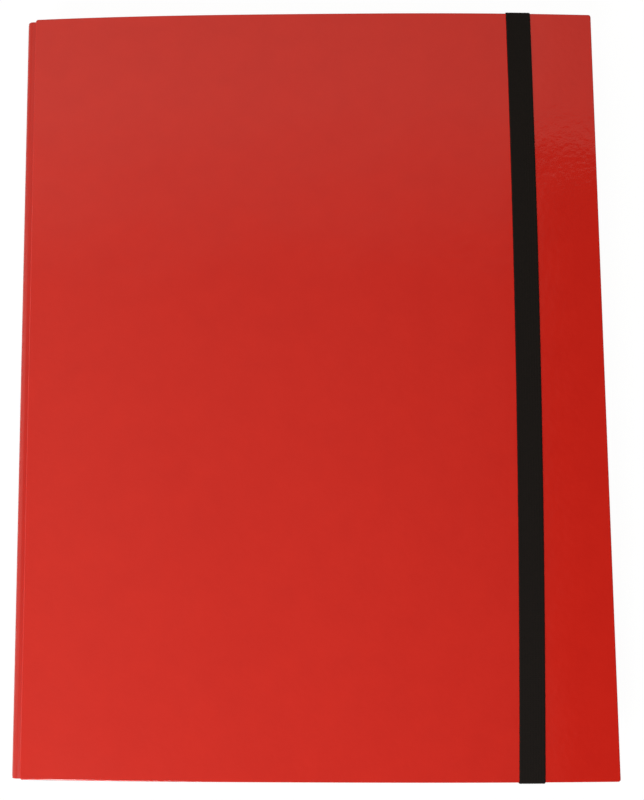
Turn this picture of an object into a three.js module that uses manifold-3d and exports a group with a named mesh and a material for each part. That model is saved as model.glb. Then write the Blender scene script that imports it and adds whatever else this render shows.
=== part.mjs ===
// An elasticated box file for A4 papers. Three greyboards, front, spine and back, are case bound
// in one sheet of glossy red paper that forms a groove either side of the spine. A folded card
// tray is glued inside the back cover, and a flat elastic holds the covers shut.
// It lies on its back: +X to the fore edge, +Y to the head, +Z through the closed covers.

import * as THREE from "three";
import { mergeVertices } from "three/addons/utils/BufferGeometryUtils.js";
import Module from "manifold-3d";

const wasm = await Module();
wasm.setup();

// Driving dimensions in millimetres.

// Covers
const COVER_HEIGHT = 320;
const PANEL_WIDTH = 239.5;
const CLOSED_DEPTH = 35; // over the outer faces of both covers, at their edges
const CORNER_RADIUS = 1;
const BOARD = 1.9;
const PAPER = 0.25;
const LINING = 0.25;
const GLUE = 0.05; // the film between two layers
const TURN_IN = 15; // how far the covering paper is folded in behind the boards
const LINING_MARGIN = 4; // from the covers' edges to the lining's edge
const LINING_GAP = 0.3; // from the turned-in paper's edge to where the lining dips beside it
const LINING_STEP = 0.8; // width of the dip's shoulder
const BOW_HEIGHT = 3.3; // the front cover is crowned across by its own lamination
const BOW_POWER = 2.6;

// Paper joints either side of the spine
const JOINT_WIDTH = 4; // from the spine's outer face to a cover's edge
const JOINT_THICKNESS = 0.5;
const JOINT_DROP = 2.4; // from a cover's outer face down to the strip in the groove
const JOINT_BEND = 1.4;
const SPINE_INSET = 4; // from a cover's outer face to the end of the spine's board

// Tray
const CARD = 1.2;
const TRAY_FOLD = 1.6; // outer radius of the card's folds
const TRAY_SQUARE = 4; // how far the covers stand out past the tray
const TRAY_CLEARANCE = 0.5; // to the spine and to the front cover
const TAB_LENGTH = 20;
const TAB_TRIM = 2.5; // the glued corner tabs stop this far from the rim and the floor
const SEAM_WIDTH = 0.3;
const SEAM_DEPTH = 3;

// Elastic
const BAND_WIDTH = 10;
const BAND_THICKNESS = 0.8;
const BAND_INSET = 33.25; // from the fore edge to its middle, half way between head and tail
const BAND_LEAN = 0.0094; // sideways travel for each millimetre towards the head
const BAND_EDGE_GAP = 0.3; // from the covers' head and tail edges to the elastic
const BAND_RUN_GAP = 0.1; // from the front cover to the run that crosses it
const BAND_BEND = 0.8; // radius of its middle line at each bend
const BAND_SLOT_INSET = 18; // from the head or tail edge to where an end passes through
const BAND_TAIL = 22; // glued length of each end under the back lining
const SLOT_CLEARANCE = 0.5;
const RECESS_DEPTH = 0.95;
const RECESS_FLOOR_GAP = 0.1;

// Fineness of curves
const BOW_STEPS = 24;
const ARC_STEPS = 6;
const BAND_STEPS = 4;
const PAST = 1; // how far a cut runs out past what it cuts

// Places that follow from the sizes above
const HALF_HEIGHT = COVER_HEIGHT / 2;
const TOTAL_WIDTH = JOINT_WIDTH + PANEL_WIDTH;
const SPINE_X = -TOTAL_WIDTH / 2;
const HINGE_EDGE_X = SPINE_X + JOINT_WIDTH;
const FORE_EDGE_X = SPINE_X + TOTAL_WIDTH;
const BACK_Z = BAND_THICKNESS + GLUE;
const FRONT_Z = BACK_Z + CLOSED_DEPTH;
const SPINE_WIDTH = CLOSED_DEPTH - 2 * (SPINE_INSET + GLUE);
const BOARD_TOP = PAPER + GLUE; // depths below a panel's outer face
const BOARD_BOTTOM = BOARD_TOP + BOARD;
const TURNED_TOP = BOARD_BOTTOM + GLUE;
const TURNED_BOTTOM = TURNED_TOP + PAPER;
const LINING_TOP = TURNED_BOTTOM + GLUE;
const PANEL_DEPTH = LINING_TOP + LINING;
const BAND_X = FORE_EDGE_X - BAND_INSET;
const BAND_SLOT_Y = HALF_HEIGHT - BAND_SLOT_INSET;

// Turns a closed three.js geometry into a solid that can be cut and joined.
function solid(geometry) {
  const bare = geometry.clone();
  bare.deleteAttribute("normal");
  bare.deleteAttribute("uv");
  const merged = mergeVertices(bare);
  const mesh = new wasm.Mesh({
    numProp: 3,
    vertProperties: merged.getAttribute("position").array,
    triVerts: new Uint32Array(merged.getIndex().array),
  });
  return new wasm.Manifold(mesh);
}

function meshOf(name, shape, material) {
  const { vertProperties, triVerts } = shape.getMesh();
  const geometry = new THREE.BufferGeometry();
  geometry.setAttribute("position", new THREE.BufferAttribute(vertProperties, 3));
  geometry.setIndex(new THREE.BufferAttribute(triVerts, 1));
  geometry.computeVertexNormals();
  const mesh = new THREE.Mesh(geometry, material);
  mesh.name = name;
  return mesh;
}

const X_AXIS = new THREE.Vector3(1, 0, 0);
const Y_AXIS = new THREE.Vector3(0, 1, 0);
const Z_AXIS = new THREE.Vector3(0, 0, 1);

// Extrudes an outline along one axis. Its points are (y, z), (x, z) or (x, y) for axis x, y or z.
function prism(outline, axis, from, to, steps = 1) {
  const shape = new THREE.Shape(outline.map(([a, b]) => new THREE.Vector2(a, b)));
  const options = { depth: to - from, steps, bevelEnabled: false };
  const geometry = new THREE.ExtrudeGeometry(shape, options);
  if (axis === "x") {
    geometry.applyMatrix4(new THREE.Matrix4().makeBasis(Y_AXIS, Z_AXIS, X_AXIS));
    geometry.translate(from, 0, 0);
  }
  if (axis === "y") {
    geometry.rotateX(Math.PI / 2);
    geometry.translate(0, to, 0);
  }
  if (axis === "z") geometry.translate(0, 0, from);
  return geometry;
}

function block([x0, x1], [y0, y1], [z0, z1]) {
  const geometry = new THREE.BoxGeometry(x1 - x0, y1 - y0, z1 - z0);
  geometry.translate((x0 + x1) / 2, (y0 + y1) / 2, (z0 + z1) / 2);
  return solid(geometry);
}

function roundedRectangle(x0, x1, halfHeight, radius) {
  const corners = [
    [x1 - radius, halfHeight - radius],
    [x0 + radius, halfHeight - radius],
    [x0 + radius, radius - halfHeight],
    [x1 - radius, radius - halfHeight],
  ];
  return corners.flatMap(([x, y], quarter) =>
    Array.from({ length: ARC_STEPS + 1 }, (_, step) => {
      const angle = ((quarter + step / ARC_STEPS) * Math.PI) / 2;
      return [x + radius * Math.cos(angle), y + radius * Math.sin(angle)];
    }),
  );
}

// The outline of a strip of even thickness. Its middle line runs through the corners given, and
// each corner between two straights is rounded to the radius.
function stripOutline(corners, thickness, radius) {
  const left = [];
  const right = [];
  const add = (point, direction) => {
    const normal = new THREE.Vector2(-direction.y, direction.x).multiplyScalar(thickness / 2);
    left.push([point.x + normal.x, point.y + normal.y]);
    right.push([point.x - normal.x, point.y - normal.y]);
  };
  const points = corners.map(([a, b]) => new THREE.Vector2(a, b));
  const last = points.length - 1;
  const heading = (i) => points[i + 1].clone().sub(points[i]).normalize();
  add(points[0], heading(0));
  for (let i = 1; i < last; i += 1) {
    const coming = heading(i - 1);
    const turn = Math.atan2(coming.cross(heading(i)), coming.dot(heading(i)));
    const start = points[i].clone().addScaledVector(coming, -radius * Math.tan(Math.abs(turn) / 2));
    const toCentre = new THREE.Vector2(-coming.y, coming.x).multiplyScalar(Math.sign(turn) * radius);
    const centre = start.clone().add(toCentre);
    for (let step = 0; step <= ARC_STEPS; step += 1) {
      const angle = (turn * step) / ARC_STEPS;
      const direction = coming.clone().rotateAround(new THREE.Vector2(), angle);
      add(start.clone().rotateAround(centre, angle), direction);
    }
  }
  add(points[last], heading(last - 1));
  return [...left, ...right.reverse()];
}

// A panel's own frame: x across from its hinge edge, y to the head, z out of its outer face.
// A cover has paper round all its edges, and the spine has it round its head and tail only.
function makePanel(width, bow, edged) {
  const crown = (x) => bow * (1 - Math.abs((2 * x) / width - 1) ** BOW_POWER);
  const pitch = width / BOW_STEPS;
  // Straight facets between the stations, so that every layer has the same ones.
  const heightAt = (x) => {
    const facet = THREE.MathUtils.clamp(Math.floor(x / pitch), 0, BOW_STEPS - 1);
    const start = crown(facet * pitch);
    return start + (crown((facet + 1) * pitch) - start) * (x / pitch - facet);
  };
  const stations = bow ? Array.from({ length: BOW_STEPS }, (_, i) => i * pitch) : [];
  return { width, edged, heightAt, stations };
}

const FRONT = makePanel(PANEL_WIDTH, BOW_HEIGHT, true);
const BACK = makePanel(PANEL_WIDTH, 0, true);
const SPINE = makePanel(SPINE_WIDTH, 0, false);

// One layer of a panel between two depths below its outer face.
function layer(panel, [x0, x1], halfHeight, [top, bottom], radius = 0) {
  const between = panel.stations.filter((x) => x > x0 && x < x1);
  const line = (depth) => [x0, ...between, x1].map((x) => [x, panel.heightAt(x) - depth]);
  const slab = solid(prism([...line(top), ...line(bottom).reverse()], "y", -halfHeight, halfHeight));
  if (!radius) return slab;
  const outline = roundedRectangle(x0, x1, halfHeight, radius);
  return slab.intersect(solid(prism(outline, "z", -bottom - PAST, BOW_HEIGHT + PAST)));
}

// From edge to edge of a panel, set in from edges that carry paper.
function across(panel, inset, past = 0) {
  return panel.edged ? [inset, panel.width - inset] : [-past, panel.width + past];
}

function cornerRadius(panel, inset) {
  return panel.edged ? CORNER_RADIUS - inset : 0;
}

function panelBoard(panel) {
  const inset = PAPER + GLUE;
  const radius = cornerRadius(panel, inset);
  return layer(panel, across(panel, inset), HALF_HEIGHT - inset, [BOARD_TOP, BOARD_BOTTOM], radius);
}

// The covering paper of one panel, wrapped round the board's edges and turned in behind it.
function panelPaper(panel) {
  const wrap = layer(
    panel,
    across(panel, 0),
    HALF_HEIGHT,
    [0, TURNED_BOTTOM],
    cornerRadius(panel, 0),
  );
  const pocket = layer(
    panel,
    across(panel, PAPER, PAST),
    HALF_HEIGHT - PAPER,
    [PAPER, TURNED_TOP],
    cornerRadius(panel, PAPER),
  );
  const windowEnd = panel.edged ? panel.width - TURN_IN : panel.width + PAST;
  const window = layer(
    panel,
    [-PAST, windowEnd],
    HALF_HEIGHT - TURN_IN,
    [TURNED_TOP - 2 * GLUE, TURNED_BOTTOM + PAST],
  );
  return wrap.subtract(pocket).subtract(window);
}

// The lining lies over the turned-in paper and dips onto the board inside it.
function panelLining(panel) {
  const outerEnd = panel.edged ? panel.width - LINING_MARGIN : panel.width;
  const dipEnd = panel.edged ? panel.width - TURN_IN - LINING_GAP : panel.width;
  const outerHalf = HALF_HEIGHT - LINING_MARGIN;
  const dipHalf = HALF_HEIGHT - TURN_IN - LINING_GAP;
  const floorEnd = panel.edged ? dipEnd - LINING_STEP : panel.width + PAST;
  const floorHalf = dipHalf - LINING_STEP;
  const sheet = layer(panel, [0, outerEnd], outerHalf, [LINING_TOP, PANEL_DEPTH]);
  const dip = layer(panel, [0, dipEnd], dipHalf, [TURNED_TOP, PANEL_DEPTH]);
  const floor = [TURNED_TOP + LINING, PANEL_DEPTH + PAST];
  return sheet.add(dip).subtract(layer(panel, [-PAST, floorEnd], floorHalf, floor));
}

// The slots and the shallow recesses for the elastic's ends, in the back panel's own frame,
// which is turned over: its y runs to the tail.
function bandCuts() {
  const halfWidth = BAND_WIDTH / 2 + SLOT_CLEARANCE;
  return [1, -1].map((side) => {
    const x = BAND_X + BAND_LEAN * side * BAND_SLOT_Y - HINGE_EDGE_X;
    const width = [x - halfWidth, x + halfWidth];
    const slotInner = BAND_SLOT_Y - BAND_BEND;
    const slotOuter = BAND_SLOT_Y + BAND_BEND + BAND_RUN_GAP;
    const recessInner = BAND_SLOT_Y - BAND_TAIL - SLOT_CLEARANCE;
    const ends = (a, b) => [-side * a, -side * b].sort((p, q) => p - q);
    const recess = [-BOARD_BOTTOM - PAST, RECESS_DEPTH - BOARD_BOTTOM];
    const slot = block(width, ends(slotInner, slotOuter), [-BOARD_BOTTOM - PAST, PAST]);
    return { slot, recess: block(width, ends(recessInner, slotOuter), recess) };
  });
}

function backBoard() {
  return bandCuts().reduce(
    (board, { slot, recess }) => board.subtract(slot).subtract(recess),
    panelBoard(BACK),
  );
}

function backPaper() {
  return bandCuts().reduce((paper, { slot }) => paper.subtract(slot), panelPaper(BACK));
}

// The paper and lining glued together in the groove, in the frame of the covers' outer corner.
function jointStrip() {
  const height = -JOINT_DROP - JOINT_THICKNESS / 2;
  const corners = [
    [JOINT_WIDTH - GLUE, height],
    [JOINT_THICKNESS / 2, height],
    [JOINT_THICKNESS / 2, -SPINE_INSET],
  ];
  const outline = stripOutline(corners, JOINT_THICKNESS, JOINT_BEND - JOINT_THICKNESS / 2);
  return solid(prism(outline, "y", -HALF_HEIGHT, HALF_HEIGHT));
}

const TRAY_X = [SPINE_X + PANEL_DEPTH + TRAY_CLEARANCE, FORE_EDGE_X - TRAY_SQUARE];
const TRAY_Y = [TRAY_SQUARE - HALF_HEIGHT, HALF_HEIGHT - TRAY_SQUARE];
const TRAY_Z = [BACK_Z + PANEL_DEPTH + GLUE, FRONT_Z - PANEL_DEPTH - TRAY_CLEARANCE];

// The tray's floor with two walls folded up from it, as an outline across the tray.
function foldedWalls([from, to]) {
  const middle = CARD / 2;
  const corners = [
    [from + middle, TRAY_Z[1]],
    [from + middle, TRAY_Z[0] + middle],
    [to - middle, TRAY_Z[0] + middle],
    [to - middle, TRAY_Z[1]],
  ];
  return stripOutline(corners, CARD, TRAY_FOLD - middle);
}

// A tab of an end wall, folded in and glued to the side wall, with its free corners cut off.
function cornerTab(side, end) {
  const wallX = side < 0 ? TRAY_X[0] + CARD : TRAY_X[1] - 2 * CARD;
  const root = end * (HALF_HEIGHT - TRAY_SQUARE - CARD / 2);
  const tip = end * (HALF_HEIGHT - TRAY_SQUARE - TAB_LENGTH);
  const low = TRAY_Z[0] + CARD + TAB_TRIM;
  const high = TRAY_Z[1] - TAB_TRIM;
  const shoulder = tip + end * TAB_TRIM;
  const outline = [
    [root, low],
    [shoulder, low],
    [tip, low + TAB_TRIM],
    [tip, high - TAB_TRIM],
    [shoulder, high],
    [root, high],
  ];
  return solid(prism(outline, "x", wallX, wallX + CARD));
}

// The slit between a side wall and the end wall's fold beside it.
function cornerSeam(side, end) {
  const x = side < 0 ? TRAY_X[0] + CARD : TRAY_X[1] - CARD - SEAM_WIDTH;
  const outer = end * (HALF_HEIGHT - TRAY_SQUARE + PAST);
  const inner = end * (HALF_HEIGHT - TRAY_SQUARE - SEAM_DEPTH);
  const ends = [Math.min(outer, inner), Math.max(outer, inner)];
  return block([x, x + SEAM_WIDTH], ends, [TRAY_Z[0] - PAST, TRAY_Z[1] + PAST]);
}

function tray() {
  const ends = [TRAY_Y[0] + TRAY_FOLD, TRAY_Y[1] - TRAY_FOLD];
  const sides = [TRAY_X[0] + TRAY_FOLD, TRAY_X[1] - TRAY_FOLD];
  const walls = [TRAY_Z[0] + TRAY_FOLD, TRAY_Z[1]];
  let card = solid(prism(foldedWalls(TRAY_X), "y", ...ends));
  card = card.add(solid(prism(foldedWalls(TRAY_Y), "x", ...sides)));
  for (const x of [TRAY_X[0], TRAY_X[1] - CARD]) card = card.add(block([x, x + CARD], TRAY_Y, walls));
  for (const y of [TRAY_Y[0], TRAY_Y[1] - CARD]) {
    card = card.add(block([TRAY_X[0] + CARD, TRAY_X[1] - CARD], [y, y + CARD], walls));
  }
  for (const side of [-1, 1]) {
    for (const end of [-1, 1]) card = card.add(cornerTab(side, end)).subtract(cornerSeam(side, end));
  }
  return card;
}

const BAND_MIDDLE_Y = HALF_HEIGHT + BAND_EDGE_GAP + BAND_THICKNESS / 2;
const BAND_FOOT_Z = BAND_THICKNESS / 2 + BAND_BEND + 2 * GLUE;

// Extrudes an outline in y and z to the elastic's width and leans it. The lift says how much of
// the front cover's crown a point follows, from its height.
function bandPiece(outline, lift = () => 0) {
  const half = BAND_WIDTH / 2;
  const geometry = prism(outline, "x", BAND_X - half, BAND_X + half, BAND_STEPS);
  const position = geometry.getAttribute("position");
  for (let i = 0; i < position.count; i += 1) {
    const y = position.getY(i);
    const z = position.getZ(i);
    const x = position.getX(i) + BAND_LEAN * y;
    position.setXYZ(i, x, y, z + lift(z) * FRONT.heightAt(x - HINGE_EDGE_X));
  }
  return solid(geometry);
}

// The run across the front cover, which follows its crown, with a leg down the covers' head and
// tail edges that takes the crown up little by little.
function frontRun() {
  const top = FRONT_Z + BAND_RUN_GAP + BAND_THICKNESS / 2;
  const corners = [
    [-BAND_MIDDLE_Y, BAND_FOOT_Z],
    [-BAND_MIDDLE_Y, top],
    [BAND_MIDDLE_Y, top],
    [BAND_MIDDLE_Y, BAND_FOOT_Z],
  ];
  const lift = (z) => THREE.MathUtils.clamp((z - BAND_FOOT_Z) / (FRONT_Z - BAND_FOOT_Z), 0, 1);
  return bandPiece(stripOutline(corners, BAND_THICKNESS, BAND_BEND), lift);
}

// One end of the elastic: under the back cover, up through its slot and flat in the recess.
function bandEnd(side) {
  const recessFloor = BACK_Z + BOARD_BOTTOM - RECESS_DEPTH;
  const tailZ = recessFloor + RECESS_FLOOR_GAP + BAND_THICKNESS / 2;
  const corners = [
    [side * BAND_MIDDLE_Y, BAND_FOOT_Z - GLUE],
    [side * BAND_MIDDLE_Y, BAND_THICKNESS / 2],
    [side * BAND_SLOT_Y, BAND_THICKNESS / 2],
    [side * BAND_SLOT_Y, tailZ],
    [side * (BAND_SLOT_Y - BAND_TAIL), tailZ],
  ];
  return bandPiece(stripOutline(corners, BAND_THICKNESS, BAND_BEND));
}

const redPaper = new THREE.MeshStandardMaterial({ color: 0xc8342c, roughness: 0.3 });
const liningPaper = new THREE.MeshStandardMaterial({ color: 0xb03028, roughness: 0.6 });
const greyBoard = new THREE.MeshStandardMaterial({ color: 0x8d867b, roughness: 0.95 });
const trayCard = new THREE.MeshStandardMaterial({ color: 0xc23a31, roughness: 0.6 });
const blackElastic = new THREE.MeshStandardMaterial({ color: 0x1c1a18, roughness: 0.85 });

function frontCover() {
  const cover = new THREE.Group();
  cover.position.set(HINGE_EDGE_X, 0, FRONT_Z);
  cover.add(meshOf("front_board", panelBoard(FRONT), greyBoard));
  cover.add(meshOf("front_cover_paper", panelPaper(FRONT), redPaper));
  cover.add(meshOf("front_lining", panelLining(FRONT), liningPaper));
  return cover;
}

function spine() {
  const panel = new THREE.Group();
  panel.position.set(SPINE_X, 0, BACK_Z + SPINE_INSET + GLUE);
  panel.rotation.y = -Math.PI / 2;
  panel.add(meshOf("spine_board", panelBoard(SPINE), greyBoard));
  panel.add(meshOf("spine_cover_paper", panelPaper(SPINE), redPaper));
  panel.add(meshOf("spine_lining", panelLining(SPINE), liningPaper));
  return panel;
}

function backCover() {
  const cover = new THREE.Group();
  cover.position.set(HINGE_EDGE_X, 0, BACK_Z);
  cover.rotation.x = Math.PI;
  cover.add(meshOf("back_board", backBoard(), greyBoard));
  cover.add(meshOf("back_cover_paper", backPaper(), redPaper));
  cover.add(meshOf("back_lining", panelLining(BACK), liningPaper));
  return cover;
}

function joints() {
  const pair = new THREE.Group();
  const front = meshOf("front_joint", jointStrip(), redPaper);
  front.position.set(SPINE_X, 0, FRONT_Z);
  const back = meshOf("back_joint", jointStrip(), redPaper);
  back.position.set(SPINE_X, 0, BACK_Z);
  back.rotation.x = Math.PI;
  pair.add(front, back);
  return pair;
}

function elastic() {
  const band = new THREE.Group();
  band.add(meshOf("elastic_band", frontRun(), blackElastic));
  band.add(meshOf("band_end_top", bandEnd(1), blackElastic));
  band.add(meshOf("band_end_bottom", bandEnd(-1), blackElastic));
  return band;
}

const boxFile = new THREE.Group();
boxFile.add(frontCover(), spine(), backCover(), joints());
boxFile.add(meshOf("tray", tray(), trayCard));
boxFile.add(elastic());

export default boxFile;
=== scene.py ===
"""A closed box file in glossy red paper with a flat black elastic, lying on its back."""

import math

import bmesh
import bpy
import numpy as np
from mathutils import Matrix, Vector


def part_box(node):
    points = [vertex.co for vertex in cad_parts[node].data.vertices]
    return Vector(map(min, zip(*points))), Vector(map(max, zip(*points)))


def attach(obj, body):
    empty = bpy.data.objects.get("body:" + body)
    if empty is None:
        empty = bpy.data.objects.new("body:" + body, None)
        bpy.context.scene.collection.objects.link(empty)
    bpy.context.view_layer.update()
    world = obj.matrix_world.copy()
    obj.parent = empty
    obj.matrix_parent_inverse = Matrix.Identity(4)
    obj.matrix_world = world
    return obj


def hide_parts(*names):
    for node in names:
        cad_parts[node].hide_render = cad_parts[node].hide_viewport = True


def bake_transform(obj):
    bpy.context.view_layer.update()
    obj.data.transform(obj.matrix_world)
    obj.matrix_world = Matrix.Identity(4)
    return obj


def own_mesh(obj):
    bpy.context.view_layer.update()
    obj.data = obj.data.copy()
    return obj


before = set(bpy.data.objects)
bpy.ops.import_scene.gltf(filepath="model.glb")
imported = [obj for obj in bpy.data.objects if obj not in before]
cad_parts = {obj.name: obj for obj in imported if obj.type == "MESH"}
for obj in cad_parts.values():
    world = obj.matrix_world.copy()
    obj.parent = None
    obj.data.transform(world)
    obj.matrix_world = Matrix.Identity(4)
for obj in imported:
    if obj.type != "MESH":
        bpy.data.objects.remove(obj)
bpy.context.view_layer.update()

MM = 0.001

# Layers of a covered board, from its outer face inwards
TURNED_IN = 2.5 * MM  # to the inner face of the turned-in paper
BOARD_INNER = 2.2 * MM
LINING_INNER = 2.8 * MM
LINING_THICKNESS = 0.25 * MM
TURN_IN = 15 * MM
EDGE_LAP = 0.6 * MM  # the paper's rim beside a groove, where nothing is turned in
LINING_DIP = 0.3 * MM  # the lining lies lower where no paper is turned in below it
DIP_SHOULDER = 1.2 * MM
CORNER_RADIUS = 1.0 * MM
EDGE_RADIUS = 0.32 * MM
EDGE_STEPS = 5  # in each of the two arrises round a panel
PANEL_STEPS = (3 * MM, 4 * MM)  # between stations across and along a panel
LINING_STEP = 2 * MM
LINING_RIM = 1 * MM  # stations are closer than that within this distance of its edges
BOW_POWER = 2.6
LONG_WAVES = 0.035 * MM  # height of the slow waves in the front cover's glued paper
SHORT_WAVES = 0.010 * MM
RIPPLE_FADE = 12 * MM  # the waves die out this close to the cover's sides
COVER_RIMS = (EDGE_LAP, TURN_IN)  # widths turned in at the groove and at the fore edge
SPINE_RIMS = (EDGE_LAP, EDGE_LAP)

# Strips of paper in the two grooves
STRIP_THICKNESS = 0.5 * MM
STRIP_TUCK = 1.2 * MM  # they run on under the cover's edge and behind the spine's end
STRIP_BEND = 2.3 * MM
STRIP_BEND_STEP = 0.4 * MM
STRIP_STEP = 2.7 * MM
STRIP_END = 0.1 * MM  # sections this close together keep the strips' ends flat
STRIP_COVER_DEPTH = 2.65 * MM  # from a cover's outer face to where its joint bends

TRAY_SKIN = 0.6 * MM  # depth of the tray's red colour under its outer faces
BEND_STEPS = 8  # round each rounded corner of a path

# Elastic
BAND_WIDTH = 10 * MM
BAND_THICKNESS = 0.8 * MM
BAND_BEND = 0.8 * MM
BAND_STEP = 0.8 * MM
BAND_EDGE = 0.3 * MM  # radius of its long edges
EDGE_ANGLES = (0.8, 1.57, 2.3)  # places round a long edge, in radians
RIBS = 9
RIB_HEIGHT = 0.07 * MM
STEPS_PER_RIB = 5
UNDERSIDE_STEPS = 8
RUN_GAP = 0.05 * MM  # from the front cover to the run that crosses it
RUN_THICKNESS = 0.5 * MM  # where it is stretched over the front cover
RUN_PULL = 0.45 * MM  # how much closer than its feet it lies to the cover's head and tail
RUN_WIDENING = 1.04
RUN_SLIP = 0.8 * MM  # towards the spine at the tail
BAND_BULGE = 1.6 * MM  # the run bends a little towards the fore edge between head and tail

# Room and view
ROOM_TINT = (1.0, 0.96, 0.80)
ROOM_LEVELS = (  # the room's brightness by how far to the right (+X) one looks
    (-1.0, 0.6),
    (-0.28, 0.52),
    (0.25, 0.26),
    (0.30, 0.24),
    (0.37, 0.06),
    (1.0, 0.05),
)
WALL_HEIGHT = 1.6
WHITE = (1, 1, 1, 1)
FLOOR_REACH = 6.0
FLOOR_DROP = 0.02 * MM
FLOOR_WHITE = 1.03
FLOOR_WHITE_SHARE = 0.94  # the rest shows the object's shadow
LENS_PIXELS = 1100
LONG_SIDE_PIXELS = 800
TRIM_PIXELS = (88.4, 15.8)  # the photograph was trimmed off its lens axis
VIEW_DEGREES = (1.015, 6.612, -0.021)  # yaw, tilt and roll
EYE_FROM_COVER = (-25.95 * MM, -65.86 * MM, 452.98 * MM)

# Places read from the frame
front_low, front_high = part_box("front_cover_paper")
back_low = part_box("back_cover_paper")[0]
spine_low, spine_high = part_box("spine_cover_paper")
joint_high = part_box("front_joint")[1]
band_low, band_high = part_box("elastic_band")
end_low, end_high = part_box("band_end_top")
tail_end_low, tail_end_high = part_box("band_end_bottom")
tray_low, tray_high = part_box("tray")

HALF_HEIGHT = front_high.y
PANEL_WIDTH = front_high.x - front_low.x
FRONT_Z = front_low.z + TURNED_IN
BACK_Z = back_low.z
BOW = front_high.z - FRONT_Z
SPINE_WIDTH = spine_high.z - spine_low.z
HEAD_X = (end_low.x + end_high.x) / 2
TAIL_X = (tail_end_low.x + tail_end_high.x) / 2
BAND_LEAN = (HEAD_X - TAIL_X) / (end_low.y + end_high.y)


def crown(share):
    """Height of the bowed front cover over its edges, from its share of the way across."""
    return BOW * (1 - np.abs(2 * share - 1) ** BOW_POWER)


def ripple(x, y):
    """Slight waviness of glued paper over board."""
    long_waves = np.sin(31 * x + 19 * y + 0.4) * np.sin(23 * y - 11 * x + 1.1)
    short_waves = np.sin(83 * x - 47 * y + 2.0) * np.sin(71 * y + 53 * x + 0.7)
    return LONG_WAVES * long_waves + SHORT_WAVES * short_waves


# Meshes


def new_object(name, points, faces, material):
    """Adds a mesh to the scene."""
    mesh = bpy.data.meshes.new(name)
    mesh.from_pydata([tuple(p) for p in points], [], faces)
    mesh.validate()
    mesh.shade_smooth()
    mesh.materials.append(material)
    piece = bpy.data.objects.new(name, mesh)
    bpy.context.scene.collection.objects.link(piece)
    return piece


def spaced(low, high, step, fine):
    """Even stations with extra ones close to both ends, where corners are rounded."""
    count = max(2, round((high - low - 2 * fine) / step))
    ends = [fine * k / 4 for k in range(5)]
    middle = [low + fine + (high - low - 2 * fine) * k / count for k in range(1, count)]
    return np.array([low + e for e in ends] + middle + [high - e for e in reversed(ends)])


def rounded(points, low, high, radius):
    """Moves the points in a rectangle's corner squares so that its corners become round."""
    centre = (np.array(low) + np.array(high)) / 2
    reach = (np.array(high) - np.array(low)) / 2 - radius
    offset = points - centre
    side = np.sign(offset)
    past = np.clip((np.abs(offset) - reach) / radius, 0, 1)
    a, b = past[:, 0], past[:, 1]
    disc = np.stack([a * np.sqrt(1 - b * b / 2), b * np.sqrt(1 - a * a / 2)], -1)
    inner = np.minimum(np.abs(offset), reach)
    return centre + side * (inner + radius * disc)


def rim_indices(columns, rows):
    """The grid's boundary vertices in order round it, counter-clockwise."""
    bottom = [i * rows for i in range(columns)]
    right = [(columns - 1) * rows + j for j in range(1, rows)]
    top = [i * rows + rows - 1 for i in range(columns - 2, -1, -1)]
    left = [j for j in range(rows - 2, 0, -1)]
    return bottom + right + top + left


def grid_faces(columns, rows, first=0, flip=False):
    """Faces of a grid whose vertices start at first."""
    faces = []
    for i in range(columns - 1):
        for j in range(rows - 1):
            a = first + i * rows + j
            face = (a, a + rows, a + rows + 1, a + 1)
            faces.append(face[::-1] if flip else face)
    return faces


def wrapped_panel(name, width, half, height, rims, place, material):
    """One covered board in its own frame: paper over the outer face, round all four edges and
    turned in behind. height(x, y) is the outer face's own shape. rims are the widths turned in
    at the two sides."""
    xs = spaced(0, width, PANEL_STEPS[0], CORNER_RADIUS)
    ys = spaced(-half, half, PANEL_STEPS[1], CORNER_RADIUS)
    columns, rows = len(xs), len(ys)
    flat = np.array([(x, y) for x in xs for y in ys])
    plan = rounded(flat, (0, -half), (width, half), CORNER_RADIUS)
    rim = rim_indices(columns, rows)
    middle = np.array([width / 2, 0])
    size = np.array([width, 2 * half])

    def inset(points, distance):
        return middle + (points - middle) * (1 - 2 * distance / size)

    def level(points, depth):
        return np.column_stack([points, height(points[:, 0], points[:, 1]) - depth])

    layers = [level(inset(plan, EDGE_RADIUS), 0)]
    for k in range(1, EDGE_STEPS + 1):
        angle = math.pi / 2 * k / EDGE_STEPS
        out = EDGE_RADIUS * (1 - math.sin(angle))
        layers.append(level(inset(plan[rim], out), EDGE_RADIUS * (1 - math.cos(angle))))
    for k in range(EDGE_STEPS + 1):
        angle = math.pi / 2 * k / EDGE_STEPS
        out = EDGE_RADIUS * (1 - math.cos(angle))
        depth = TURNED_IN - EDGE_RADIUS * (1 - math.sin(angle))
        layers.append(level(inset(plan[rim], out), depth))
    low = np.array([rims[0], -half + TURN_IN])
    high = np.array([width - rims[1], half - TURN_IN])
    inside = (low + high) / 2 + (flat - middle) * (high - low) / size
    layers.append(level(inside[rim], TURNED_IN))
    layers.append(level(inside, BOARD_INNER))

    points = np.vstack(layers)
    faces = grid_faces(columns, rows)
    starts = [columns * rows + k * len(rim) for k in range(2 * EDGE_STEPS + 2)]
    rings = [rim] + [[start + i for i in range(len(rim))] for start in starts]
    last = starts[-1] + len(rim)
    rings.append([last + i for i in rim])
    for outer, inner in zip(rings, rings[1:]):
        for i in range(len(rim)):
            k = (i + 1) % len(rim)
            faces.append((outer[k], outer[i], inner[i], inner[k]))
    faces += grid_faces(columns, rows, last, flip=True)
    piece = new_object(name, points, faces, material)
    piece.data.transform(place)
    return piece


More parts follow.
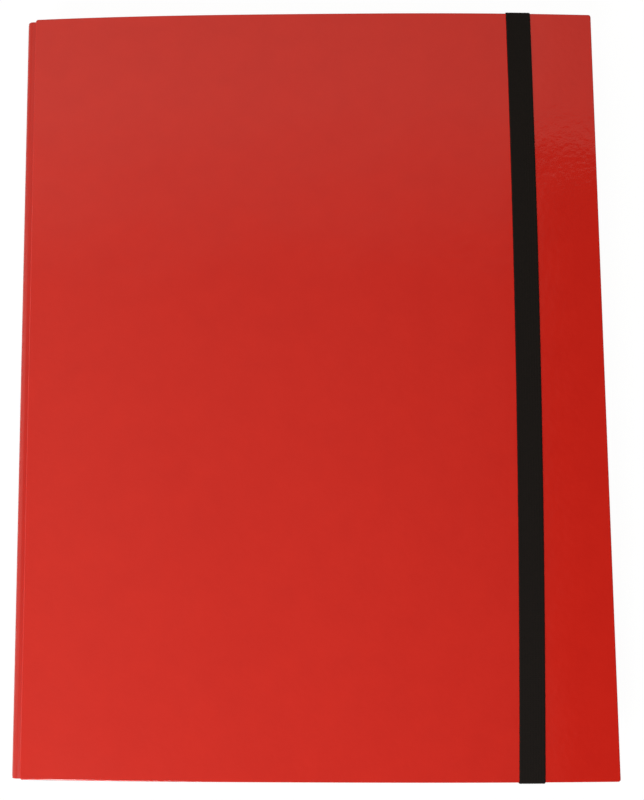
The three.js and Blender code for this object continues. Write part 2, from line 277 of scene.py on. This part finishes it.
def lining_sheet(name, box, dips, height, place, material):
    """A lining with its inner face towards the reader. It dips where no paper is turned in
    below it, so the turned-in edges show through it as a faint step."""
    (x0, y0), (x1, y1) = box
    xs = spaced(x0, x1, LINING_STEP, LINING_RIM)
    ys = spaced(y0, y1, LINING_STEP, LINING_RIM)
    columns, rows = len(xs), len(ys)
    plan = np.array([(x, y) for x in xs for y in ys])
    away = np.minimum(dips[1] - plan[:, 0], HALF_HEIGHT - TURN_IN - np.abs(plan[:, 1]))
    away = np.minimum(away, plan[:, 0] - dips[0])
    share = np.clip(away / DIP_SHOULDER, 0, 1)
    dip = LINING_DIP * share * share * (3 - 2 * share)
    face = height(plan[:, 0], plan[:, 1])
    level = face - LINING_INNER + dip
    inner = np.column_stack([plan, level])
    outer = np.column_stack([plan, level + LINING_THICKNESS])
    points = np.vstack([outer, inner])
    count = columns * rows
    rim = rim_indices(columns, rows)
    faces = grid_faces(columns, rows) + grid_faces(columns, rows, count, flip=True)
    for i, a in enumerate(rim):
        b = rim[(i + 1) % len(rim)]
        faces.append((b, a, a + count, b + count))
    piece = new_object(name, points, faces, material)
    piece.data.transform(place)
    return piece


def face_outwards(piece):
    """Turns all faces of a closed piece outwards."""
    mesh = bmesh.new()
    mesh.from_mesh(piece.data)
    bmesh.ops.recalc_face_normals(mesh, faces=mesh.faces)
    mesh.to_mesh(piece.data)
    mesh.free()


def swept(name, sections, material):
    """A closed skin through like sections, with flat ends."""
    size = len(sections[0])
    points = np.vstack(sections)
    faces = []
    for s in range(len(sections) - 1):
        for i in range(size):
            k = (i + 1) % size
            a, b = s * size, (s + 1) * size
            faces.append((a + i, a + k, b + k, b + i))
    faces.append(tuple(reversed(range(size))))
    last = (len(sections) - 1) * size
    faces.append(tuple(last + i for i in range(size)))
    piece = new_object(name, points, faces, material)
    face_outwards(piece)
    return piece


def rounded_path(corners, radius, step):
    """Points and directions along a plane path whose corners are rounded."""
    corners = [np.array(c, float) for c in corners]
    spots = []
    start = corners[0]
    for i in range(1, len(corners)):
        coming = corners[i] - corners[i - 1]
        coming = coming / np.linalg.norm(coming)
        is_last = i == len(corners) - 1
        end = corners[i] if is_last else corners[i] - coming * radius
        length = np.linalg.norm(end - start)
        count = max(1, round(length / step))
        spots += [(start + (end - start) * k / count, coming) for k in range(count + 1)]
        if is_last:
            break
        going = corners[i + 1] - corners[i]
        going = going / np.linalg.norm(going)
        turn = math.copysign(math.pi / 2, coming[0] * going[1] - coming[1] * going[0])
        centre = end + radius * going
        for k in range(1, BEND_STEPS):
            angle = turn * k / BEND_STEPS
            c, s = math.cos(angle), math.sin(angle)
            turned = np.array([[c, -s], [s, c]])
            spots.append((centre + turned @ (end - centre), turned @ coming))
        start = corners[i] + going * radius
    return spots


# Materials


def material(name):
    """A new material with its node tree and its shader."""
    made = bpy.data.materials.new(name)
    made.use_nodes = True
    tree = made.node_tree
    return made, tree, tree.nodes["Principled BSDF"]


def node(tree, kind, **values):
    """Adds a node and sets the inputs or settings of the given names."""
    made = tree.nodes.new(kind)
    for key, value in values.items():
        if key in made.inputs:
            made.inputs[key].default_value = value
        else:
            setattr(made, key, value)
    return made


def coordinates(tree, scale=(1, 1, 1)):
    """The object's own coordinates, scaled."""
    place = node(tree, "ShaderNodeTexCoord")
    mapping = node(tree, "ShaderNodeMapping")
    mapping.inputs["Scale"].default_value = scale
    tree.links.new(place.outputs["Object"], mapping.inputs["Vector"])
    return mapping.outputs["Vector"]


def noise(tree, vector, scale, detail=2.0, roughness=0.5):
    """Noise from 0 to 1."""
    made = node(tree, "ShaderNodeTexNoise", Scale=scale, Detail=detail, Roughness=roughness)
    tree.links.new(vector, made.inputs["Vector"])
    return made.outputs["Fac"]


def ramp(tree, factor, stops):
    """Colours along a factor, from (position, colour) stops."""
    made = node(tree, "ShaderNodeValToRGB")
    elements = made.color_ramp.elements
    while len(elements) < len(stops):
        elements.new(0.5)
    for element, (position, colour) in zip(elements, stops):
        element.position = position
        element.color = (*colour, 1)
    tree.links.new(factor, made.inputs["Fac"])
    return made.outputs["Color"]


def span(tree, factor, low, high, start=0.0, end=1.0):
    """Maps a factor that runs from start to end to run from low to high."""
    made = node(tree, "ShaderNodeMapRange")
    made.inputs["From Min"].default_value = start
    made.inputs["From Max"].default_value = end
    made.inputs["To Min"].default_value = low
    made.inputs["To Max"].default_value = high
    tree.links.new(factor, made.inputs["Value"])
    return made.outputs["Result"]


def bump(tree, height, distance, strength=1.0, normal=None):
    """A normal bent by a height."""
    made = node(tree, "ShaderNodeBump", Strength=strength, Distance=distance)
    tree.links.new(height, made.inputs["Height"])
    if normal:
        tree.links.new(normal, made.inputs["Normal"])
    return made.outputs["Normal"]


def linear(*srgb):
    """An 8-bit sRGB colour as linear light."""
    values = [c / 255 for c in srgb]
    return tuple(c / 12.92 if c <= 0.04045 else ((c + 0.055) / 1.055) ** 2.4 for c in values)


def make_red_paper(name, darker, lighter, roughness):
    """Laminated paper, its red between two close tones and its gloss a little uneven."""
    made, tree, shader = material(name)
    vector = coordinates(tree)
    mottle = noise(tree, vector, scale=90, detail=4, roughness=0.6)
    reds = ramp(tree, mottle, [(0.3, linear(*darker)), (0.7, linear(*lighter))])
    tree.links.new(reds, shader.inputs["Base Color"])
    smear = noise(tree, vector, scale=35, detail=3)
    tree.links.new(span(tree, smear, *roughness), shader.inputs["Roughness"])
    shader.inputs["IOR"].default_value = 1.5
    # Waves of the sheet, orange peel of its gloss and fine grain, each over the one before
    relief = ((26, 1, 0.9 * MM, 0.35), (330, 2, 0.09 * MM, 0.55), (1500, 2, 0.012 * MM, 0.6))
    normal = None
    for scale, detail, distance, strength in relief:
        normal = bump(tree, noise(tree, vector, scale, detail), distance, strength, normal)
    tree.links.new(normal, shader.inputs["Normal"])
    return made


def make_lining():
    """Plain matt paper with faint fibres along the cover."""
    made, tree, shader = material("lining_paper")
    vector = coordinates(tree)
    drawn = coordinates(tree, (1, 0.35, 1))
    fibres = noise(tree, drawn, scale=900, detail=4, roughness=0.65)
    reds = ramp(tree, fibres, [(0.3, linear(176, 30, 26)), (0.7, linear(190, 38, 32))])
    tree.links.new(reds, shader.inputs["Base Color"])
    dullness = span(tree, noise(tree, vector, scale=60), low=0.55, high=0.68)
    tree.links.new(dullness, shader.inputs["Roughness"])
    relief = bump(tree, fibres, distance=0.03 * MM, strength=0.5)
    tree.links.new(relief, shader.inputs["Normal"])
    return made


def between(tree, value, low, high):
    """1 where a value lies between two others."""
    above = node(tree, "ShaderNodeMath", operation="GREATER_THAN")
    below = node(tree, "ShaderNodeMath", operation="LESS_THAN")
    both = node(tree, "ShaderNodeMath", operation="MULTIPLY")
    tree.links.new(value, above.inputs[0])
    above.inputs[1].default_value = low
    tree.links.new(value, below.inputs[0])
    below.inputs[1].default_value = high
    tree.links.new(above.outputs[0], both.inputs[0])
    tree.links.new(below.outputs[0], both.inputs[1])
    return both.outputs[0]


def make_tray_card():
    """Red on the outer faces, pale inside and on most of the cut rim."""
    made, tree, shader = material("tray_card")
    vector = coordinates(tree)
    parts = node(tree, "ShaderNodeSeparateXYZ")
    tree.links.new(vector, parts.inputs["Vector"])
    inside = None
    for axis in range(3):
        low = tray_low[axis] + TRAY_SKIN
        high = tray_high[axis] + (TRAY_SKIN if axis == 2 else -TRAY_SKIN)
        slab = between(tree, parts.outputs[axis], low, high)
        if inside is None:
            inside = slab
            continue
        both = node(tree, "ShaderNodeMath", operation="MULTIPLY")
        tree.links.new(inside, both.inputs[0])
        tree.links.new(slab, both.inputs[1])
        inside = both.outputs[0]
    fibres = noise(tree, vector, scale=700, detail=4, roughness=0.65)
    red = ramp(tree, fibres, [(0.3, linear(186, 34, 28)), (0.7, linear(198, 42, 34))])
    pale = ramp(tree, fibres, [(0.25, linear(198, 194, 184)), (0.75, linear(216, 213, 205))])
    mix = node(tree, "ShaderNodeMix", data_type="RGBA")
    tree.links.new(inside, mix.inputs["Factor"])
    colours = [s for s in mix.inputs if s.type == "RGBA"]
    tree.links.new(red, colours[0])
    tree.links.new(pale, colours[1])
    shown = [s for s in mix.outputs if s.type == "RGBA"][0]
    tree.links.new(shown, shader.inputs["Base Color"])
    dullness = span(tree, fibres, low=0.45, high=0.6)
    tree.links.new(dullness, shader.inputs["Roughness"])
    relief = bump(tree, fibres, distance=0.04 * MM, strength=0.5)
    tree.links.new(relief, shader.inputs["Normal"])
    return made


def make_greyboard():
    """Rough grey board, seen only where nothing covers it."""
    made, tree, shader = material("greyboard")
    vector = coordinates(tree)
    fibres = noise(tree, vector, scale=800, detail=6, roughness=0.75)
    greys = ramp(tree, fibres, [(0.3, linear(120, 113, 102)), (0.7, linear(160, 152, 140))])
    tree.links.new(greys, shader.inputs["Base Color"])
    shader.inputs["Roughness"].default_value = 0.95
    relief = bump(tree, fibres, distance=0.1 * MM, strength=0.7)
    tree.links.new(relief, shader.inputs["Normal"])
    return made


def make_elastic():
    """Matt black woven elastic with fine cross threads."""
    made, tree, shader = material("black_elastic")
    weft = node(tree, "ShaderNodeTexWave", Scale=1.0, Distortion=0.6, Detail=1.0)
    weft.bands_direction = "Y"
    stretched = coordinates(tree, (300, 420, 300))
    tree.links.new(stretched, weft.inputs["Vector"])
    drawn = coordinates(tree, (1, 0.3, 1))
    threads = noise(tree, drawn, scale=2600, detail=3, roughness=0.6)
    blacks = ramp(tree, threads, [(0.3, linear(13, 8, 6)), (0.75, linear(24, 17, 14))])
    tree.links.new(blacks, shader.inputs["Base Color"])
    dullness = span(tree, threads, low=0.7, high=0.9)
    tree.links.new(dullness, shader.inputs["Roughness"])
    shader.inputs["Specular IOR Level"].default_value = 0.2
    woven = bump(tree, weft.outputs["Fac"], distance=0.06 * MM, strength=0.6)
    relief = bump(tree, threads, distance=0.04 * MM, strength=0.6, normal=woven)
    tree.links.new(relief, shader.inputs["Normal"])
    return made


RED_PAPER = make_red_paper(
    "glossy_red_paper",
    darker=(206, 33, 23),
    lighter=(210, 35, 24),
    roughness=(0.06, 0.11),
)
# Paper for the groove strips: the same paper with its red painted darker as shade in the grooves,
# and a rougher gloss.
GROOVE_PAPER_PAINTED_SHADE = make_red_paper(
    "groove_red_paper_painted_shade",
    darker=(193, 31, 22),
    lighter=(197, 33, 23),
    roughness=(0.16, 0.22),
)
LINING = make_lining()
TRAY_CARD = make_tray_card()
GREYBOARD = make_greyboard()
ELASTIC = make_elastic()

# Covers

FRONT_PLACE = Matrix.Translation((front_low.x, 0, FRONT_Z))
BACK_PLACE = Matrix.Translation((back_low.x, 0, BACK_Z)) @ Matrix.Rotation(math.pi, 4, "X")
SPINE_TURN = Matrix.Rotation(-math.pi / 2, 4, "Y")
SPINE_PLACE = Matrix.Translation((spine_low.x, 0, spine_low.z)) @ SPINE_TURN


def front_height(x, y):
    """The front cover's crowned and slightly wavy outer face."""
    share = np.clip(x / PANEL_WIDTH, 0, 1)
    fade = np.clip(np.minimum(x, PANEL_WIDTH - x) / RIPPLE_FADE, 0, 1)
    return crown(share) + ripple(x, y) * fade


def flat_height(x, y):
    """The flat outer face of the spine and the back cover."""
    return np.zeros_like(x)


def make_covers():
    """The covering paper on the two covers and the spine."""
    covers = (
        ("front_covering", PANEL_WIDTH, front_height, COVER_RIMS, FRONT_PLACE, "front"),
        ("back_covering", PANEL_WIDTH, flat_height, COVER_RIMS, BACK_PLACE, "back"),
        ("spine_covering", SPINE_WIDTH, flat_height, SPINE_RIMS, SPINE_PLACE, "spine"),
    )
    for name, width, height, rims, place, body in covers:
        piece = wrapped_panel(name, width, HALF_HEIGHT, height, rims, place, RED_PAPER)
        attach(piece, body)
        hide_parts(f"{body}_cover_paper")


def make_linings():
    """The sheets inside the covers and the spine, a margin short of their edges."""
    margin = PANEL_WIDTH - (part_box("back_lining")[1].x - back_low.x)
    edge = HALF_HEIGHT - margin
    cover = ((0, -edge), (PANEL_WIDTH - margin, edge))
    across = (EDGE_LAP, PANEL_WIDTH - TURN_IN)
    spine = ((0, -edge), (SPINE_WIDTH, edge))
    spine_dips = (EDGE_LAP, SPINE_WIDTH - EDGE_LAP)
    sheets = (
        ("front_inner_lining", cover, across, front_height, FRONT_PLACE, "front"),
        ("back_inner_lining", cover, across, flat_height, BACK_PLACE, "back"),
        ("spine_inner_lining", spine, spine_dips, flat_height, SPINE_PLACE, "spine"),
    )
    for name, box, dips, height, place, body in sheets:
        piece = lining_sheet(name, box, dips, height, place, LINING)
        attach(piece, body)
        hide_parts(f"{body}_lining")


# Paper joints


def groove_path(corner_z, inward):
    """The strip's middle line in one groove, from the cover's edge round to the spine's end.
    inward is -1 for the front joint and 1 for the back one."""
    drop = FRONT_Z - joint_high.z + STRIP_THICKNESS / 2
    spine_x = spine_low.x + STRIP_THICKNESS / 2
    corners = [
        (front_low.x + STRIP_TUCK, corner_z + inward * drop),
        (spine_x, corner_z + inward * drop),
        (spine_x, corner_z + inward * (FRONT_Z - spine_high.z + STRIP_TUCK)),
    ]
    return rounded_path(corners, STRIP_BEND, STRIP_BEND_STEP)


def make_joint(name, corner_z, inward, cad_node):
    """One strip, swept along its groove's path over the cover's whole height."""
    path = groove_path(corner_z, inward)
    outline = []
    for side in (1, -1):
        run = path if side > 0 else path[::-1]
        for point, direction in run:
            normal = np.array([-direction[1], direction[0]]) * side * STRIP_THICKNESS / 2
            outline.append(point + normal)
    ys = spaced(-HALF_HEIGHT, HALF_HEIGHT, STRIP_STEP, STRIP_END)
    sections = [np.array([(x, y, z) for x, z in outline]) for y in ys]
    # The strip's paper has its red painted darker as shade in the groove.
    piece = swept(name, sections, GROOVE_PAPER_PAINTED_SHADE)
    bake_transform(piece)
    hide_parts(cad_node)


def make_joints():
    """Both grooves. Each bends from its cover's edge to the spine's end."""
    spine_x = spine_low.x + STRIP_THICKNESS / 2
    front_cover = (front_low.x, 0, FRONT_Z - STRIP_COVER_DEPTH)
    front_spine = (spine_x, 0, spine_high.z)
    back_cover = (front_low.x, 0, BACK_Z + STRIP_COVER_DEPTH)
    back_spine = (spine_x, 0, spine_low.z)
    for name, corner_z, inward, bodies, start, end, cad_node in (
        ("front_groove", FRONT_Z, -1, ("spine", "front"), front_spine, front_cover, "front_joint"),
        ("back_groove", BACK_Z, 1, ("back", "spine"), back_cover, back_spine, "back_joint"),
    ):
        make_joint(name, corner_z, inward, cad_node)


# Elastic


def band_centre(y):
    """x of the elastic's middle line where it crosses the given y."""
    return (HEAD_X + TAIL_X) / 2 + BAND_LEAN * y


def band_section():
    """The ribbed band's outline, as (across, out) pairs round it."""
    half, thick = BAND_WIDTH / 2, BAND_THICKNESS / 2
    flat = half - BAND_EDGE
    shoulder = thick - RIB_HEIGHT
    steps = RIBS * STEPS_PER_RIB
    top = []
    for k in range(steps + 1):
        rib = RIB_HEIGHT * abs(math.sin(math.pi * RIBS * k / steps))
        top.append((2 * flat * k / steps - flat, shoulder + rib))
    arc = [(flat + BAND_EDGE * math.sin(a), shoulder * math.cos(a)) for a in EDGE_ANGLES]
    under = [(flat - 2 * flat * k / UNDERSIDE_STEPS, -thick) for k in range(UNDERSIDE_STEPS + 1)]
    return top + arc + under + [(-across, -out) for across, out in arc]


def make_elastic_band():
    """One stretched loop over the front cover, down at the head and tail, to its feet under the
    back cover. Its changes of shape fade in with the height above the feet."""
    leg_y = band_high.y - BAND_THICKNESS / 2
    foot_z = band_low.z
    run_z = FRONT_Z + RUN_GAP + RUN_THICKNESS / 2
    corners = [(-leg_y, foot_z), (-leg_y, run_z), (leg_y, run_z), (leg_y, foot_z)]
    section = band_section()
    sections = []
    for (y, z), direction in rounded_path(corners, BAND_BEND, BAND_STEP):
        out = np.array([-direction[1], direction[0]])
        lift = min(max((z - foot_z) / (FRONT_Z - foot_z), 0), 1)
        bulge = BAND_BULGE * max(0.0, 1 - (y / leg_y) ** 2) * lift
        slip = RUN_SLIP * lift * (1 - y / leg_y) / 2
        pulled = y * (1 - lift * RUN_PULL / leg_y)
        thin = 1 - lift * (1 - RUN_THICKNESS / BAND_THICKNESS)
        ring = []
        for across, off in section:
            x = band_centre(y) + bulge - slip + across * (1 + lift * (RUN_WIDENING - 1))
            share = min(max((x - front_low.x) / PANEL_WIDTH, 0), 1)
            height = lift * float(crown(share))
            ring.append((x, pulled + out[0] * off * thin, z + out[1] * off * thin + height))
        sections.append(np.array(ring))
    piece = swept("elastic_loop", sections, ELASTIC)
    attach(piece, "back")
    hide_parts("elastic_band")
    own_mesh(piece)


def dress_cad_nodes():
    """Colours for the nodes that are shown with their own solids."""
    finishes = {
        "tray": TRAY_CARD,
        "front_board": GREYBOARD,
        "spine_board": GREYBOARD,
        "back_board": GREYBOARD,
        "band_end_top": ELASTIC,
        "band_end_bottom": ELASTIC,
    }
    for name, finish in finishes.items():
        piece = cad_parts[name]
        piece.data.materials.clear()
        piece.data.materials.append(finish)


# Stage, lights and camera


def make_floor():
    """Pale and matt. The camera sees it almost white, with the object's soft shadow."""
    made, tree, shader = material("pale_floor")
    shader.inputs["Base Color"].default_value = (0.86, 0.86, 0.86, 1)
    shader.inputs["Roughness"].default_value = 0.9
    white = node(tree, "ShaderNodeEmission", Color=WHITE, Strength=FLOOR_WHITE)
    path = node(tree, "ShaderNodeLightPath")
    share = node(tree, "ShaderNodeMath", operation="MULTIPLY")
    share.inputs[1].default_value = FLOOR_WHITE_SHARE
    tree.links.new(path.outputs["Is Camera Ray"], share.inputs[0])
    mix = node(tree, "ShaderNodeMixShader")
    tree.links.new(share.outputs[0], mix.inputs["Fac"])
    tree.links.new(shader.outputs["BSDF"], mix.inputs[1])
    tree.links.new(white.outputs["Emission"], mix.inputs[2])
    tree.links.new(mix.outputs["Shader"], tree.nodes["Material Output"].inputs["Surface"])
    corners = [(-1, -1), (1, -1), (1, 1), (-1, 1)]
    points = [(x * FLOOR_REACH, y * FLOOR_REACH, -FLOOR_DROP) for x, y in corners]
    floor = new_object("floor", points, [(0, 1, 2, 3)], made)


def make_world():
    """A warm room that is pale on the spine's side and dark past the fore edge. Its reflection
    is the broad veil on the cover. The camera itself sees white."""
    world = bpy.data.worlds.new("studio")
    bpy.context.scene.world = world
    world.use_nodes = True
    tree = world.node_tree
    room = tree.nodes["Background"]
    direction = node(tree, "ShaderNodeTexCoord")
    parts = node(tree, "ShaderNodeSeparateXYZ")
    tree.links.new(direction.outputs["Generated"], parts.inputs["Vector"])
    sideways = span(tree, parts.outputs["X"], low=0, high=1, start=-1, end=1)
    stops = [((1 + x) / 2, [level * tint for tint in ROOM_TINT]) for x, level in ROOM_LEVELS]
    tree.links.new(ramp(tree, sideways, stops), room.inputs["Color"])
    white = node(tree, "ShaderNodeBackground", Color=WHITE)
    path = node(tree, "ShaderNodeLightPath")
    mix = node(tree, "ShaderNodeMixShader")
    tree.links.new(path.outputs["Is Camera Ray"], mix.inputs["Fac"])
    tree.links.new(room.outputs["Background"], mix.inputs[1])
    tree.links.new(white.outputs["Background"], mix.inputs[2])
    tree.links.new(mix.outputs["Shader"], tree.nodes["World Output"].inputs["Surface"])


def area_light(name, place, target, size, radiance, tint=(1, 1, 1)):
    """A rectangular lamp whose own surface has the given brightness, 1 being white."""
    data = bpy.data.lights.new(name, "AREA")
    data.shape = "RECTANGLE"
    data.size, data.size_y = size
    data.energy = radiance * math.pi * size[0] * size[1]
    data.color = tint
    lamp = bpy.data.objects.new(name, data)
    lamp.location = place
    aim = Vector(target) - Vector(place)
    lamp.rotation_euler = aim.to_track_quat("-Z", "Y").to_euler()
    bpy.context.scene.collection.objects.link(lamp)


def wall_light(name, across, along, radiance):
    """A pale patch of the room past the head, from one x and y to another."""
    place = (sum(across) / 2, sum(along) / 2, WALL_HEIGHT)
    size = (across[1] - across[0], along[1] - along[0])
    area_light(name, place, (place[0], place[1], 0), size, radiance, ROOM_TINT)


def make_lights():
    """One key and six pale surfaces for the gloss to mirror."""
    middle = (0, 0, 0)
    # The key stands on the left and towards the tail, outside the cover's mirror directions.
    area_light("key", place=(-0.3, -0.6, 0.85), target=middle, size=(0.3, 0.3), radiance=23.6)
    # The rounded groove by the spine mirrors this one as a paler stripe.
    area_light("window", place=(-1.5, 0, 0.9), target=middle, size=(1.2, 1.6), radiance=0.45)
    # Pale walls past the head show as a soft veil on the upper part of the glossy cover. The broad
    # one fades in over strips. The one past the fore edge begins at once and farther off.
    edges = (0.47, 0.55, 0.64, 0.74, 1.73)
    strips = len(edges) - 1
    for strip in range(strips):
        wall_light(
            f"spine_side_wall_{strip}",
            across=(-1.05, 0.63),
            along=edges[strip : strip + 2],
            radiance=0.35 * (strip + 1) / strips,
        )
    wall_light("fore_side_wall", across=(0.63, 1.70), along=(0.70, 1.85), radiance=0.48)


def make_camera():
    """The photograph's place of view: about 0.45 m over the cover, tail nearer than head."""
    data = bpy.data.cameras.new("camera")
    data.sensor_width = 36
    data.lens = LENS_PIXELS * data.sensor_width / LONG_SIDE_PIXELS
    data.shift_x, data.shift_y = (pixels / LONG_SIDE_PIXELS for pixels in TRIM_PIXELS)
    camera = bpy.data.objects.new("camera", data)
    yaw, tilt, roll = (math.radians(degrees) for degrees in VIEW_DEGREES)
    turned = Matrix.Rotation(yaw, 4, "Y")
    turned = turned @ Matrix.Rotation(tilt, 4, "X")
    turned = turned @ Matrix.Rotation(roll, 4, "Z")
    cover_middle = Vector(((front_low.x + front_high.x) / 2, 0, FRONT_Z))
    eye = cover_middle + Vector(EYE_FROM_COVER)
    camera.matrix_world = Matrix.Translation(eye) @ turned
    bpy.context.scene.collection.objects.link(camera)
    bpy.context.scene.camera = camera


bpy.context.scene.view_settings.view_transform = "Standard"
make_camera()
make_covers()
make_linings()
make_joints()
make_elastic_band()
dress_cad_nodes()
make_floor()
make_world()
make_lights()
